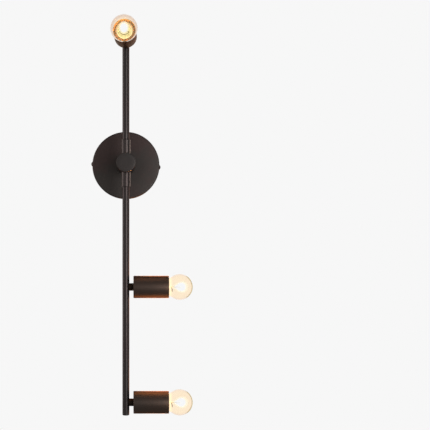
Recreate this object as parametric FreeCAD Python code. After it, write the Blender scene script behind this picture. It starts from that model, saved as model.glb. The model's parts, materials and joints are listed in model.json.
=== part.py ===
import FreeCAD, Part
import math
import os

os.makedirs("parts", exist_ok=True)

Vector = FreeCAD.Vector
ORIGIN = Vector(0, 0, 0)
X_AXIS = Vector(1, 0, 0)
Y_AXIS = Vector(0, 1, 0)
Z_AXIS = Vector(0, 0, 1)

# A wall lamp with one upright rod, a round canopy on the wall and three bare bulbs in cups.
# The wall is the plane y = 0, the front of the lamp faces -Y, and Z is up.
# The origin is the middle of the canopy, on the wall. All lengths are in millimetres.

# Canopy, a spun steel shell whose open side meets the wall
canopy_diameter = 121.0
canopy_depth = 25.0
canopy_wall = 1.2
canopy_edge_radius = 2.5

# Side screws that hold the canopy, on a line that is a little off level
side_screw_angle = -2.8
side_screw_diameter = 4.0
side_screw_length = 8.0
side_screw_depth = 12.0
side_screw_hole_clearance = 0.2
side_screw_head_diameter = 8.0
side_screw_head_height = 2.4
side_screw_head_edge = 0.7

# Bars behind the canopy: one level on the outlet box, one with ears for the side screws
bar_thickness = 2.0
box_bar_gap = 6.3
box_bar_width = 18.0
box_slot_margin = 6.3
box_slot_length = 14.0
box_slot_width = 4.8
ear_bar_width = 14.0
ear_gap = 1.5
ear_margin = 6.0

# Grounding screw, which also joins the two bars, and its lead
ground_screw_diameter = 5.0
ground_screw_head_diameter = 9.0
ground_screw_head_height = 2.6
ground_screw_head_edge = 0.9
ground_screw_slot_width = 1.2
ground_screw_slot_depth = 1.3
ground_lead_diameter = 1.8
ground_lead_rise = 22.0
ground_lead_bend = 6.0

# Hollow threaded nipple that holds the post on the canopy, with its washer and nut
nipple_diameter = 10.0
nipple_bore = 7.4
nipple_engagement = 12.0
nipple_tail = 2.5
nipple_hole_clearance = 0.2
washer_diameter = 20.0
washer_thickness = 1.2
lock_nut_width = 14.0
lock_nut_thickness = 4.0

# Post, the thick bar that carries the rod in front of the wall
post_diameter = 33.0
rod_standoff = 75.0
post_nose = 29.0
wire_bore = 8.0

# Front cap of the post and its stud, which reaches the sleeve
cap_thickness = 3.0
cap_chamfer = 1.1
stud_diameter = 8.0
stud_seat = 1.6

# Sleeve across the post, in which both tubes turn, and the screws that stop and hold them
sleeve_length = 82.0
sleeve_wall = 1.67
sleeve_chamfer = 0.9
stop_inset = 11.0
stop_screw_diameter = 4.0
stop_screw_recess = 2.0
stop_screw_recess_depth = 0.7
stop_dog_diameter = 2.4
groove_depth = 0.7
groove_clearance = 0.3
swing_half_angle = 135.0

# Upright tubes and their end plugs
tube_diameter = 12.0
tube_wall = 1.3
tube_start = 10.0
tube_overhang = 22.0
plug_head = 1.8
plug_round = 1.2
plug_shank = 8.0

# Places of the three lamps on the rod, and the way that each one points
top_lamp_height = 215.5
middle_lamp_drop = 213.5
bottom_lamp_drop = 412.5
top_heading = -92.0
side_heading = 0.0

# Arm of a lamp: a nipple through a collar, and the nut inside the cup
arm_nipple_diameter = 8.0
arm_nipple_bore = 5.6
arm_nipple_inset = 1.1
collar_wall = 2.47
collar_lap = 1.0
collar_reach = 13.0
cup_nut_width = 13.0
cup_nut_thickness = 3.0

# Cup
cup_length = 61.0
cup_wall = 1.2
cup_back_round = 1.2
cup_lip_chamfer = 0.5

# Lampholder: moulded body, screw shell and the sprung contact in its middle
holder_length = 44.0
holder_wall = 2.5
holder_gap = 1.52
holder_base = 6.0
chamber_diameter = 25.0
floor_thickness = 3.0
shell_wall = 0.5
shell_length = 22.0
shell_setback = 1.0
shell_floor_hole = 17.0
contact_width = 6.0
contact_thickness = 0.6
contact_foot = 7.0
contact_rise = 3.2
contact_rivet_diameter = 3.0

# Bulb: a clear round globe on a screw cap
globe_diameter = 45.0
globe_wall = 0.8
neck_diameter = 24.4
neck_curve_radius = 28.0
neck_lap = 4.5
neck_tail = 1.0
bulb_cap_diameter = 26.2
bulb_cap_wall = 0.4
bulb_cap_clearance = 0.4
bulb_skirt_length = 6.0
thread_length = 13.5
thread_depth = 0.8
thread_turns = 4
insulator_height = 4.0
insulator_lap = 1.0
insulator_tip_diameter = 12.0
bulb_contact_diameter = 9.0
bulb_contact_height = 1.5

# Filament and its glass stem inside the bulb
mount_foot_length = 9.0
mount_stem_diameter = 5.0
mount_tip_distance = 10.0
filament_diameter = 0.8
filament_spread = 5.5
filament_distance = 1.0
filament_rise = 3.5
filament_bend = 1.2

# Two-core leads inside the lamp, and the twist-on connectors at their ends in the canopy
lead_diameter = 2.8
lead_gap = 0.2
lead_bend = 4.0
lead_depth = 11.5
connector_across = 18.0
connector_drop = 18.0
connector_mouth_diameter = 10.0
connector_tip_diameter = 6.5
connector_length = 20.0
connector_socket = 5.0

# Clearances: turning fits, seats within one body, and faces of bodies that move apart
running_clearance = 0.08
seat_clearance = 0.03
body_gap = 0.3

# One overrun for every cut
overrun = 2.0

# Sizes and places that follow from the ones above
rod_axis = canopy_depth + rod_standoff
canopy_bore = canopy_diameter - 2 * canopy_wall
box_bar_length = canopy_bore - 2 * box_bar_gap
box_slot_spacing = box_bar_length - 2 * box_slot_margin - box_slot_length
tube_bore = tube_diameter - 2 * tube_wall
sleeve_bore = tube_diameter + 2 * running_clearance
sleeve_diameter = sleeve_bore + 2 * sleeve_wall
stop_height = sleeve_length / 2 - stop_inset
collar_diameter = arm_nipple_diameter + 2 * (seat_clearance + collar_wall)
shell_bore = bulb_cap_diameter + 2 * bulb_cap_clearance
shell_diameter = shell_bore + 2 * shell_wall
holder_bore = shell_diameter + 2 * seat_clearance
holder_diameter = holder_bore + 2 * holder_wall
cup_bore = holder_diameter + 2 * holder_gap
cup_diameter = cup_bore + 2 * cup_wall
cup_floor = collar_reach + cup_wall
holder_start = cup_floor + cup_nut_thickness
holder_end = holder_start + holder_length
shell_end = holder_end - shell_setback
shell_start = shell_end - shell_length
floor_start = shell_start - floor_thickness
bulb_tip = shell_start + contact_rise + body_gap
bulb_cap_length = bulb_skirt_length + thread_length + insulator_height + bulb_contact_height
bulb_cap_rim = bulb_tip + bulb_cap_length
neck_straight = math.sqrt(
    (globe_diameter / 2 + neck_curve_radius) ** 2 - (neck_diameter / 2 + neck_curve_radius) ** 2
)
globe_centre = bulb_cap_rim + neck_straight - neck_lap
neck_end = globe_centre - neck_straight - neck_tail
lead_offset = (lead_diameter + lead_gap) / 2


# Shapes along the X axis, from which every turned piece is made

def outline(start, *moves):
    # A move is the next corner, or the middle and the end of an arc; a line closes it if need be.
    edges = []
    here = start
    for move in moves:
        if isinstance(move[0], tuple):
            middle, there = move
            arc = Part.Arc(Vector(*here, 0), Vector(*middle, 0), Vector(*there, 0))
            edges.append(arc.toShape())
        else:
            there = move
            edges.append(Part.makeLine(Vector(*here, 0), Vector(*there, 0)))
        here = there
    if here != start:
        edges.append(Part.makeLine(Vector(*here, 0), Vector(*start, 0)))
    return Part.Face(Part.Wire(edges))


def turned(start, *moves):
    return outline(start, *moves).revolve(ORIGIN, X_AXIS, 360)


def on_circle(centre, radius, angle):
    along = centre[0] + radius * math.cos(math.radians(angle))
    across = centre[1] + radius * math.sin(math.radians(angle))
    return (along, across)


def dome_middle(edge, crown, radius):
    # The middle of the arc from a dome's edge, at a radius, to its crown on the axis.
    rise = crown - edge
    sphere = (radius ** 2 + rise ** 2) / (2 * rise)
    return on_circle((crown - sphere, 0), sphere, math.degrees(math.asin(radius / sphere)) / 2)


def bar(start, end, diameter):
    return Part.makeCylinder(diameter / 2, end - start, Vector(start, 0, 0), X_AXIS)


def pipe(start, end, diameter, bore):
    return bar(start, end, diameter).cut(bar(start - overrun, end + overrun, bore))


def hexagon(start, end, across_flats):
    corner_radius = across_flats / math.sqrt(3)
    corners = []
    for step in range(7):
        angle = math.radians(60 * step)
        corners.append(Vector(start, corner_radius * math.cos(angle), corner_radius * math.sin(angle)))
    return Part.Face(Part.makePolygon(corners)).extrude(Vector(end - start, 0, 0))


def nut(start, end, across_flats, bore):
    return hexagon(start, end, across_flats).cut(bar(start - overrun, end + overrun, bore))


# Placing: turned pieces are made along X and then faced, stood up or aimed

def facing_front(shape):
    # X becomes the way out of the wall.
    placed = shape.copy()
    placed.rotate(ORIGIN, Z_AXIS, -90)
    return placed


def standing(shape):
    # X becomes up.
    placed = shape.copy()
    placed.rotate(ORIGIN, Y_AXIS, -90)
    return placed


def turned_over(shape):
    # Up becomes down, and X stays.
    placed = shape.copy()
    placed.rotate(ORIGIN, X_AXIS, 180)
    return placed


def on_rod(shape, heading, height=0):
    # Z is the rod's axis, and X turns to the heading.
    placed = shape.copy()
    placed.rotate(ORIGIN, Z_AXIS, heading)
    placed.translate(Vector(0, -rod_axis, height))
    return placed


def lead_along(points, bend, diameter):
    # Straight runs joined by tangent arcs.
    edges = []
    here = points[0]
    for before, corner, after in zip(points, points[1:], points[2:]):
        come = (corner - before).normalize()
        leave = (after - corner).normalize()
        half_turn = come.getAngle(leave) / 2
        setback = bend * math.tan(half_turn)
        bisector = (leave - come).normalize()
        arc_start = corner - come * setback
        arc_end = corner + leave * setback
        arc_middle = corner + bisector * (bend / math.cos(half_turn) - bend)
        edges.append(Part.makeLine(here, arc_start))
        edges.append(Part.Arc(arc_start, arc_middle, arc_end).toShape())
        here = arc_end
    edges.append(Part.makeLine(here, points[-1]))
    start_direction = points[1] - points[0]
    section = Part.Wire(Part.makeCircle(diameter / 2, points[0], start_direction))
    return Part.Wire(edges).makePipeShell([section], True, False)


# Canopy and what is behind it

def canopy():
    outer = canopy_diameter / 2
    inner = canopy_bore / 2
    edge = (canopy_depth - canopy_edge_radius, outer - canopy_edge_radius)
    inner_radius = canopy_edge_radius - canopy_wall
    hole = nipple_diameter / 2 + nipple_hole_clearance
    shell = turned(
        (0, outer),
        (edge[0], outer),
        (on_circle(edge, canopy_edge_radius, 45), (canopy_depth, edge[1])),
        (canopy_depth, hole),
        (canopy_depth - canopy_wall, hole),
        (canopy_depth - canopy_wall, edge[1]),
        (on_circle(edge, inner_radius, 45), (edge[0], inner)),
        (0, inner),
    )
    reach = outer + overrun
    hole_diameter = side_screw_diameter + 2 * side_screw_hole_clearance
    return facing_front(shell).cut(side_screw_line(bar(-reach, reach, hole_diameter)))


def side_screw_line(shape):
    # X becomes the line through both side screws.
    placed = shape.copy()
    placed.translate(Vector(0, -side_screw_depth, 0))
    placed.rotate(ORIGIN, Y_AXIS, -side_screw_angle)
    return placed


def side_screw():
    seat = canopy_diameter / 2
    head = side_screw_head_diameter / 2
    shank = side_screw_diameter / 2
    crown = seat + side_screw_head_height
    shoulder = seat + side_screw_head_edge
    return turned(
        (seat - side_screw_length, 0),
        (seat - side_screw_length, shank),
        (seat, shank),
        (seat, head),
        (shoulder, head),
        (dome_middle(shoulder, crown, head), (crown, 0)),
    )


def side_screws():
    right = side_screw()
    left = side_screw()
    left.rotate(ORIGIN, Z_AXIS, 180)
    return Part.makeCompound([side_screw_line(right), side_screw_line(left)])


def rounded_bar(length, width, thickness):
    straight = (length - width) / 2
    end = width / 2
    face = outline(
        (-straight, -end),
        (straight, -end),
        ((straight + end, 0), (straight, end)),
        (-straight, end),
        ((-straight - end, 0), (-straight, -end)),
    )
    blank = face.extrude(Vector(0, 0, thickness))
    blank.rotate(ORIGIN, X_AXIS, 90)
    return blank


def box_bar():
    blank = rounded_bar(box_bar_length, box_bar_width, bar_thickness)
    slot = rounded_bar(box_slot_length, box_slot_width, bar_thickness + 2 * overrun)
    slot.translate(Vector(0, overrun, 0))
    for side in (-1, 1):
        place = slot.copy()
        place.translate(Vector(side * box_slot_spacing / 2, 0, 0))
        blank = blank.cut(place)
    return blank.cut(ground_screw_hole())


def ground_screw_hole():
    hole_diameter = ground_screw_diameter + 2 * seat_clearance
    return facing_front(bar(-overrun, 2 * bar_thickness + overrun, hole_diameter))


def ear_bar():
    # A strip with both ends bent forward; the ears stay inside the canopy's wall.
    half_width = ear_bar_width / 2
    face = math.sqrt((canopy_bore / 2 - ear_gap) ** 2 - half_width ** 2)
    back = -bar_thickness
    front = back - bar_thickness
    tip = -side_screw_depth - ear_margin
    bend_centre = face - bar_thickness
    strip = outline(
        (-face, tip),
        (-face, front),
        (on_circle((-bend_centre, front), bar_thickness, 135), (-bend_centre, back)),
        (bend_centre, back),
        (on_circle((bend_centre, front), bar_thickness, 45), (face, front)),
        (face, tip),
        (bend_centre, tip),
        (bend_centre, front),
        (-bend_centre, front),
        (-bend_centre, tip),
    )
    strip.translate(Vector(0, 0, -half_width))
    strip = strip.extrude(Vector(0, 0, ear_bar_width))
    strip.rotate(ORIGIN, Y_AXIS, -side_screw_angle)
    reach = face + overrun
    hole_diameter = side_screw_diameter + 2 * seat_clearance
    strip = strip.cut(side_screw_line(bar(-reach, reach, hole_diameter)))
    return strip.cut(ground_screw_hole())


def ground_screw():
    seat = 2 * bar_thickness
    crown = seat + ground_screw_head_height
    head = ground_screw_head_diameter / 2
    shank = ground_screw_diameter / 2
    shoulder = seat + ground_screw_head_edge
    screw = turned(
        (seat_clearance, 0),
        (seat_clearance, shank),
        (seat, shank),
        (seat, head),
        (shoulder, head),
        (dome_middle(shoulder, crown, head), (crown, 0)),
    )
    reach = ground_screw_head_diameter + 2 * overrun
    corner = Vector(crown - ground_screw_slot_depth, -reach / 2, -ground_screw_slot_width / 2)
    depth = ground_screw_slot_depth + overrun
    screw = screw.cut(Part.makeBox(depth, reach, ground_screw_slot_width, corner))
    return facing_front(screw)


def ground_lead():
    # From the screw's head up the bar and out to the canopy's front wall.
    on_bar = 2 * bar_thickness + ground_lead_diameter / 2
    low = ground_screw_head_diameter / 2 + seat_clearance
    wall = canopy_depth - canopy_wall
    points = [
        Vector(0, -on_bar, low),
        Vector(0, -on_bar, low + ground_lead_rise),
        Vector(0, -wall, low + ground_lead_rise),
    ]
    return lead_along(points, ground_lead_bend, ground_lead_diameter)


# Post and what holds it on the canopy

def post_washer():
    end = canopy_depth - canopy_wall
    bore = nipple_diameter + 2 * seat_clearance
    return facing_front(pipe(end - washer_thickness, end, washer_diameter, bore))


def post_nut():
    end = canopy_depth - canopy_wall - washer_thickness
    bore = nipple_diameter + 2 * seat_clearance
    return facing_front(nut(end - lock_nut_thickness, end, lock_nut_width, bore))


def post_nipple():
    stack = canopy_wall + washer_thickness + lock_nut_thickness
    start = canopy_depth - stack - nipple_tail
    return facing_front(pipe(start, canopy_depth + nipple_engagement, nipple_diameter, nipple_bore))


def post():
    end = rod_axis + post_nose
    body = bar(canopy_depth, end, post_diameter)
    nipple_hole = nipple_diameter + 2 * seat_clearance
    nipple_end = canopy_depth + nipple_engagement + seat_clearance
    stud_hole = stud_diameter + 2 * running_clearance
    body = body.cut(bar(canopy_depth - overrun, nipple_end, nipple_hole))
    body = body.cut(bar(canopy_depth - overrun, rod_axis, wire_bore))
    body = body.cut(bar(rod_axis, end + overrun, stud_hole))
    body = facing_front(body)
    reach = post_diameter / 2 + overrun
    sleeve_hole = sleeve_diameter + 2 * seat_clearance
    return body.cut(on_rod(standing(bar(-reach, reach, sleeve_hole)), 0))


def front_cap():
    start = rod_axis + post_nose + body_gap
    end = start + cap_thickness
    edge = post_diameter / 2
    seat = stud_diameter / 2 + seat_clearance
    return facing_front(turned(
        (start + stud_seat, 0),
        (start + stud_seat, seat),
        (start, seat),
        (start, edge),
        (end - cap_chamfer, edge),
        (end, edge - cap_chamfer),
        (end, 0),
    ))


def cap_stud():
    start = rod_axis + sleeve_diameter / 2 + body_gap
    end = rod_axis + post_nose + body_gap + stud_seat
    return facing_front(bar(start, end, stud_diameter))


# Sleeve, tubes and stops

def sleeve():
    half = sleeve_length / 2
    outer = sleeve_diameter / 2
    inner = sleeve_bore / 2
    shell = turned(
        (-half, inner),
        (-half, outer - sleeve_chamfer),
        (-half + sleeve_chamfer, outer),
        (half - sleeve_chamfer, outer),
        (half, outer - sleeve_chamfer),
        (half, inner),
    )
    shell = standing(shell)
    back = Part.makeCylinder(wire_bore / 2, outer + overrun, ORIGIN, Y_AXIS)
    shell = shell.cut(back)
    screw_hole = stop_screw_diameter / 2 + seat_clearance
    for height in (-stop_height, stop_height):
        shell = shell.cut(Part.makeCylinder(screw_hole, outer + overrun, Vector(0, 0, height), Y_AXIS))
    return on_rod(shell, 0)


def stop_screw():
    # Made along X from the dog's tip; the flush outer end has a hexagon recess.
    tip = tube_diameter / 2 - groove_depth + groove_clearance / 2
    body_start = sleeve_bore / 2 + seat_clearance
    end = sleeve_diameter / 2 - seat_clearance
    screw = bar(body_start, end, stop_screw_diameter).fuse(bar(tip, body_start, stop_dog_diameter))
    return screw.cut(hexagon(end - stop_screw_recess_depth, end + overrun, stop_screw_recess))


def stop_screws():
    return Part.makeCompound([on_rod(stop_screw(), 90, height) for height in (-stop_height, stop_height)])


def stop_groove():
    # A groove round the tube that ends at both limits of the swing, opposite the lamps.
    half_width = stop_dog_diameter / 2 + groove_clearance
    outer = tube_diameter / 2
    floor = outer - groove_depth
    half_arc = swing_half_angle + math.degrees(math.asin(half_width / outer))
    section = outline(
        (stop_height - half_width, floor),
        (stop_height + half_width, floor),
        (stop_height + half_width, outer + overrun),
        (stop_height - half_width, outer + overrun),
    )
    section.rotate(ORIGIN, X_AXIS, 90 - half_arc)
    return section.revolve(ORIGIN, X_AXIS, 2 * half_arc)


def tube(end, lamp_distances):
    # Stands up from the sleeve; the lamps are on the side of X.
    shell = pipe(tube_start, end, tube_diameter, tube_bore).cut(stop_groove())
    shell = standing(shell)
    hole = arm_nipple_diameter / 2 + seat_clearance
    for distance in lamp_distances:
        shell = shell.cut(Part.makeCylinder(hole, tube_diameter, Vector(0, 0, distance), X_AXIS))
    return shell


def plug(tube_end):
    head = tube_diameter / 2
    shank = tube_bore / 2 - seat_clearance
    end = tube_end + plug_head
    round_centre = (end - plug_round, head - plug_round)
    return standing(turned(
        (tube_end - plug_shank, 0),
        (tube_end - plug_shank, shank),
        (tube_end, shank),
        (tube_end, head),
        (round_centre[0], head),
        (on_circle(round_centre, plug_round, 45), (end, round_centre[1])),
        (end, 0),
    ))


# Arm, cup and lampholder of one lamp, along X from the rod's axis

def arm_nipple():
    start = tube_bore / 2 - arm_nipple_inset
    return pipe(start, holder_start + holder_base, arm_nipple_diameter, arm_nipple_bore)


def collar():
    # The near end is a saddle that fits round the tube.
    bore = arm_nipple_diameter + 2 * seat_clearance
    body = pipe(tube_diameter / 2 - collar_lap, collar_reach, collar_diameter, bore)
    saddle = tube_diameter / 2 + seat_clearance
    height = collar_diameter + 2 * overrun
    return body.cut(Part.makeCylinder(saddle, height, Vector(0, 0, -height / 2), Z_AXIS))


def cup():
    outer = cup_diameter / 2
    inner = cup_bore / 2
    hole = arm_nipple_diameter / 2 + seat_clearance
    end = collar_reach + cup_length
    corner = (collar_reach + cup_back_round, outer - cup_back_round)
    return turned(
        (collar_reach, hole),
        (collar_reach, corner[1]),
        (on_circle(corner, cup_back_round, 135), (corner[0], outer)),
        (end - cup_lip_chamfer, outer),
        (end, outer - cup_lip_chamfer),
        (end, inner),
        (cup_floor, inner),
        (cup_floor, hole),
    )


def cup_nut():
    bore = arm_nipple_diameter + 2 * seat_clearance
    return nut(cup_floor, holder_start, cup_nut_width, bore)


def holder():
    chamber_start = holder_start + holder_base
    body = bar(holder_start, holder_end, holder_diameter)
    body = body.cut(bar(holder_start - overrun, chamber_start, arm_nipple_diameter + 2 * seat_clearance))
    body = body.cut(bar(chamber_start, floor_start, chamber_diameter))
    body = body.cut(bar(floor_start, shell_start, contact_rivet_diameter + 2 * seat_clearance))
    return body.cut(bar(shell_start, holder_end + overrun, holder_bore))


def screw_shell():
    shell = bar(shell_start, shell_end, shell_diameter)
    shell = shell.cut(bar(shell_start + shell_wall, shell_end + overrun, shell_bore))
    return shell.cut(bar(shell_start - overrun, shell_end, shell_floor_hole))


def centre_contact():
    # A spring leaf bent to a C; its foot is riveted to the holder's floor.
    foot = shell_start
    top = shell_start + contact_rise
    thick = contact_thickness
    half = contact_foot / 2
    leaf = outline(
        (foot, -half),
        (foot, half),
        (top, half),
        (top, -half),
        (top - thick, -half),
        (top - thick, half - thick),
        (foot + thick, half - thick),
        (foot + thick, -half),
    )
    leaf.translate(Vector(0, 0, -contact_width / 2))
    leaf = leaf.extrude(Vector(0, 0, contact_width))
    return leaf.fuse(bar(floor_start, foot, contact_rivet_diameter))


# Bulb

def globe():
    radius = globe_diameter / 2
    inner = radius - globe_wall
    neck = neck_diameter / 2
    curve_centre = (globe_centre - neck_straight, neck + neck_curve_radius)
    slope = math.degrees(math.atan2(curve_centre[1], -neck_straight))
    middle = (globe_centre, 0)
    down = -90
    curve_middle = (slope - 180 + down) / 2
    inner_curve = neck_curve_radius + globe_wall
    return turned(
        on_circle(middle, radius, 0),
        (on_circle(middle, radius, slope / 2), on_circle(middle, radius, slope)),
        (
            on_circle(curve_centre, neck_curve_radius, curve_middle),
            on_circle(curve_centre, neck_curve_radius, down),
        ),
        (neck_end, neck),
        (neck_end, neck - globe_wall),
        on_circle(curve_centre, inner_curve, down),
        (
            on_circle(curve_centre, inner_curve, curve_middle),
            on_circle(middle, inner, slope),
        ),
        (on_circle(middle, inner, slope / 2), on_circle(middle, inner, 0)),
    )


def bulb_cap():
    # The open skirt holds the glass; below it are the turns of the thread.
    crest = bulb_cap_diameter / 2
    root = crest - thread_depth
    skirt_start = bulb_cap_rim - bulb_skirt_length
    pitch = thread_length / thread_turns
    start = skirt_start - thread_length
    turns = []
    for turn in range(thread_turns):
        low = start + turn * pitch
        turns.append(((low + pitch / 2, crest), (low + pitch, root)))
    return turned(
        (start, root),
        *turns,
        (skirt_start, crest),
        (bulb_cap_rim, crest),
        (bulb_cap_rim, crest - bulb_cap_wall),
        (skirt_start + bulb_cap_wall, crest - bulb_cap_wall),
        (skirt_start + bulb_cap_wall, root - bulb_cap_wall),
        (start, root - bulb_cap_wall),
    )


def insulator():
    start = bulb_tip + bulb_contact_height
    end = start + insulator_height
    inside = bulb_cap_diameter / 2 - thread_depth - bulb_cap_wall - seat_clearance
    return turned(
        (start, 0),
        (start, insulator_tip_diameter / 2),
        (end, inside),
        (end + insulator_lap, inside),
        (end + insulator_lap, 0),
    )


def bulb_contact():
    edge = bulb_contact_diameter / 2
    end = bulb_tip + bulb_contact_height
    shoulder = bulb_tip + bulb_contact_height / 2
    return turned((bulb_tip, 0), (dome_middle(shoulder, bulb_tip, edge), (shoulder, edge)), (end, edge), (end, 0))


def filament_mount():
    # A glass stem whose flared foot closes the neck, and the wire that rises from it on two sides
    # and carries the filament across them.
    foot = neck_diameter / 2 - globe_wall - seat_clearance
    stem = mount_stem_diameter / 2
    tip = globe_centre - mount_tip_distance
    glass = turned(
        (neck_end, 0),
        (neck_end, foot),
        (neck_end + globe_wall, foot),
        (neck_end + mount_foot_length, stem),
        (tip - stem, stem),
        (on_circle((tip - stem, 0), stem, 45), (tip, 0)),
    )
    wire = lead_along([
        Vector(tip - mount_stem_diameter, -stem / 2, 0),
        Vector(globe_centre + filament_distance, -filament_spread, 0),
        Vector(globe_centre + filament_distance + filament_rise, 0, 0),
        Vector(globe_centre + filament_distance, filament_spread, 0),
        Vector(tip - mount_stem_diameter, stem / 2, 0),
    ], filament_bend, filament_diameter)
    return Part.makeCompound([glass.cut(wire), wire])


# Leads and connectors

def hub_lead_run(side):
    # From the middle of the sleeve back through the post, then to its connector.
    offset = side * lead_offset
    return [
        Vector(0, -rod_axis, side * tube_start),
        Vector(0, -rod_axis, offset),
        Vector(0, -lead_depth, offset),
        Vector(side * connector_across, -lead_depth, -connector_drop),
    ]


def hub_leads():
    return Part.makeCompound([lead_along(hub_lead_run(side), lead_bend, lead_diameter) for side in (-1, 1)])


def connector(side):
    socket = lead_diameter + 2 * seat_clearance
    body = turned(
        (0, 0),
        (0, connector_mouth_diameter / 2),
        (connector_length, connector_tip_diameter / 2),
        (connector_length, 0),
    )
    body = body.cut(bar(-overrun, connector_socket, socket))
    corner, end = hub_lead_run(side)[-2:]
    way = (end - corner).normalize()
    body.rotate(ORIGIN, Y_AXIS, -math.degrees(math.atan2(way.z, way.x)))
    body.translate(end - way * connector_socket)
    return body


def wire_connectors():
    return Part.makeCompound([connector(-1), connector(1)])


def lamp_lead(offset, distance):
    # Up the tube and out through the nipple to the floor of the holder.
    points = [
        Vector(offset, 0, tube_start),
        Vector(offset, 0, distance),
        Vector(floor_start, 0, distance),
    ]
    return lead_along(points, lead_bend, lead_diameter)


def save(name, shape):
    shape.exportStep("parts/" + name + ".step")
    print(name, len(shape.Solids), round(shape.Volume, 1), shape.isValid())


top_tube_end = top_lamp_height + tube_overhang - plug_head
bottom_tube_end = bottom_lamp_drop + tube_overhang - plug_head

save("canopy", canopy())
save("side_screws", side_screws())
save("box_bar", box_bar())
save("ear_bar", ear_bar())
save("ground_screw", ground_screw())
save("ground_lead", ground_lead())
save("post_washer", post_washer())
save("post_nut", post_nut())
save("post_nipple", post_nipple())
save("post", post())
save("front_cap", front_cap())
save("cap_stud", cap_stud())
save("sleeve", sleeve())
save("stop_screws", stop_screws())
save("hub_leads", hub_leads())
save("wire_connectors", wire_connectors())

save("upper_tube", on_rod(tube(top_tube_end, [top_lamp_height]), top_heading))
save("top_plug", on_rod(plug(top_tube_end), top_heading))
lower_tube = tube(bottom_tube_end, [middle_lamp_drop, bottom_lamp_drop])
save("lower_tube", on_rod(turned_over(lower_tube), side_heading))
save("bottom_plug", on_rod(turned_over(plug(bottom_tube_end)), side_heading))

save("lamp_lead_top", on_rod(lamp_lead(0, top_lamp_height), top_heading))
middle_lead = turned_over(lamp_lead(lead_offset, middle_lamp_drop))
save("lamp_lead_middle", on_rod(middle_lead, side_heading))
bottom_lead = turned_over(lamp_lead(-lead_offset, bottom_lamp_drop))
save("lamp_lead_bottom", on_rod(bottom_lead, side_heading))

lamp_pieces = {
    "arm_nipple": arm_nipple(),
    "collar": collar(),
    "cup": cup(),
    "cup_nut": cup_nut(),
    "holder": holder(),
    "screw_shell": screw_shell(),
    "centre_contact": centre_contact(),
    "globe": globe(),
    "bulb_cap": bulb_cap(),
    "insulator": insulator(),
    "bulb_contact": bulb_contact(),
    "filament_mount": filament_mount(),
}
lamps = [
    ("top", top_heading, top_lamp_height),
    ("middle", side_heading, -middle_lamp_drop),
    ("bottom", side_heading, -bottom_lamp_drop),
]
for lamp, heading, height in lamps:
    for piece, shape in lamp_pieces.items():
        save(piece + "_" + lamp, on_rod(shape, heading, height))
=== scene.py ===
import bpy
import json
import math
from mathutils import Matrix, Vector


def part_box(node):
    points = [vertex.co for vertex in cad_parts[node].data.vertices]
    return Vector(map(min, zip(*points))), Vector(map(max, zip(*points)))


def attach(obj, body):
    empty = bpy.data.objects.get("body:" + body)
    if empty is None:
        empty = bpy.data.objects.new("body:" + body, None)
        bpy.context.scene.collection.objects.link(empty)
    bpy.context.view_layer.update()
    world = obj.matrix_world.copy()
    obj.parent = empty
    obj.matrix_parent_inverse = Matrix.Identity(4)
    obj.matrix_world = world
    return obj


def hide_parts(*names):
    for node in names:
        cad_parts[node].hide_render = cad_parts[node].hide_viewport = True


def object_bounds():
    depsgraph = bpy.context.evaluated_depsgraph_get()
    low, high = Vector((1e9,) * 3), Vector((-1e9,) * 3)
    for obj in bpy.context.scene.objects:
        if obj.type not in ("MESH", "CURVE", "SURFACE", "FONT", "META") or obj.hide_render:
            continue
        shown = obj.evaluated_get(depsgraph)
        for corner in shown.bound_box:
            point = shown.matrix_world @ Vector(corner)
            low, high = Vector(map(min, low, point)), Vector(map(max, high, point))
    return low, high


# A wall lamp with one upright rod and three lit round bulbs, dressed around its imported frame.
# Lengths are in metres. The wall is the plane y = 0, the front of the lamp faces -Y, and Z is up.

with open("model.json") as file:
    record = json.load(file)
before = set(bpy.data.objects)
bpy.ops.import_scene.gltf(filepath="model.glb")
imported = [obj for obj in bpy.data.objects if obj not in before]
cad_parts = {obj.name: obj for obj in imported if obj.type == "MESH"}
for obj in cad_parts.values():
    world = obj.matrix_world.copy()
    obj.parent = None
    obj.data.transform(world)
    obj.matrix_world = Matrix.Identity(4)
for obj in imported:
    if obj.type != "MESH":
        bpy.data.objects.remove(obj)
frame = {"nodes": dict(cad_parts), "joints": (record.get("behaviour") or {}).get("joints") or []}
cad_low, cad_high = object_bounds()
nodes = frame["nodes"]
joints = {joint["name"]: joint for joint in frame["joints"]}
bpy.ops.object.select_all(action="DESELECT")

MM = 0.001
LAMPS = ("top", "middle", "bottom")
ARM_BODY = {"top": "upper_arm", "middle": "lower_arm", "bottom": "lower_arm"}
BULB_BODY = {lamp: "bulb_" + lamp for lamp in LAMPS}


# Places read from the frame

def middle_of(node):
    low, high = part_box(node)
    return (low + high) / 2


def lamp_place(lamp):
    # Lamp pieces are modelled along +X from the rod's axis. This puts them in place.
    rod = middle_of("lower_tube")
    way = joints["bulb_out_" + lamp]["axis"]
    height = middle_of("collar_" + lamp).z
    heading = math.atan2(way[1], way[0])
    return Matrix.Translation((rod.x, rod.y, height)) @ Matrix.Rotation(heading, 4, "Z")


def along_lamp(node):
    # Start and end of a node of the middle lamp, which points along +X, from the rod's axis.
    low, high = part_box(node + "_middle")
    rod = middle_of("lower_tube")
    return low.x - rod.x, high.x - rod.x


def radius_of(node):
    low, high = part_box(node + "_middle")
    return (high.z - low.z) / 2


# Materials: sockets that take part in expressions, and one way to add any node

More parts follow.
